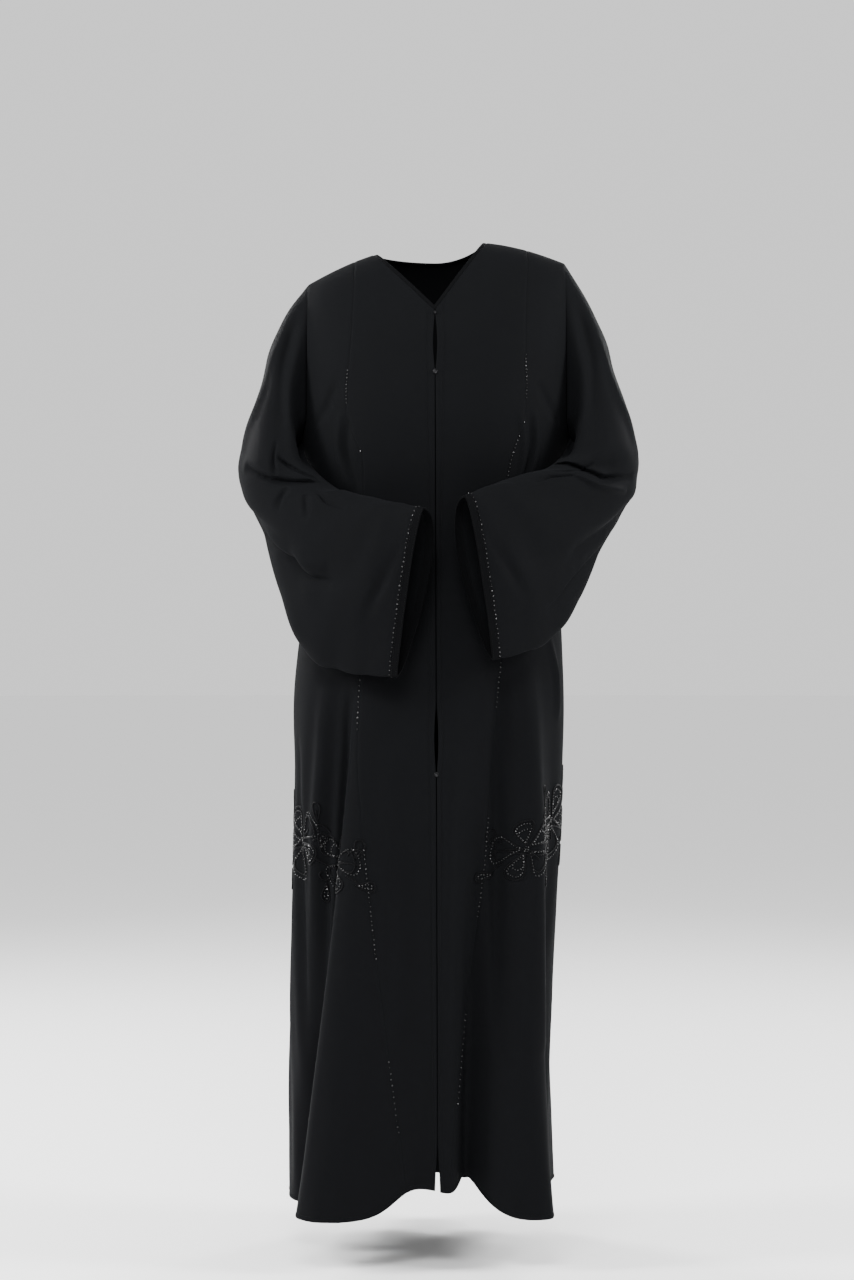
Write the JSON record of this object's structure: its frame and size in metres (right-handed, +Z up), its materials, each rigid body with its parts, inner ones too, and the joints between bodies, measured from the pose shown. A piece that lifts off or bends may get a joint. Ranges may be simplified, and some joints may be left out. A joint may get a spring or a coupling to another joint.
{
  "type": "abaya cloak",
  "caption": "Long front-opening cloak with a V neck, princess seams and wide bell sleeves, hollow and hung as it is worn, for dressing a figure or filling a wardrobe scene",
  "frame": {"origin": "midway between the high points of the two shoulders, where the wearer carries the cloak", "axes": "+Z up, the front faces -Y, the cloak's left side as it is worn is at +X"},
  "size_m": [0.563, 0.3803, 1.3521],
  "materials": {
    "crepe": "matt black crepe with a faint sheen",
    "trim": "black stitched band",
    "closures": "dark metal, satin"
  },
  "bodies": {
    "root": {"back": "crepe", "front_centre_right": "crepe", "front_centre_left": "crepe", "front_side_right": "crepe", "front_side_left": "crepe", "sleeve_right": "crepe", "sleeve_left": "crepe", "cuff_band_right": "trim", "cuff_band_left": "trim", "neck_binding": "trim", "neck_hook": "closures", "chest_snap": "closures", "lower_snap": "closures"}
  },
  "joints": []
}
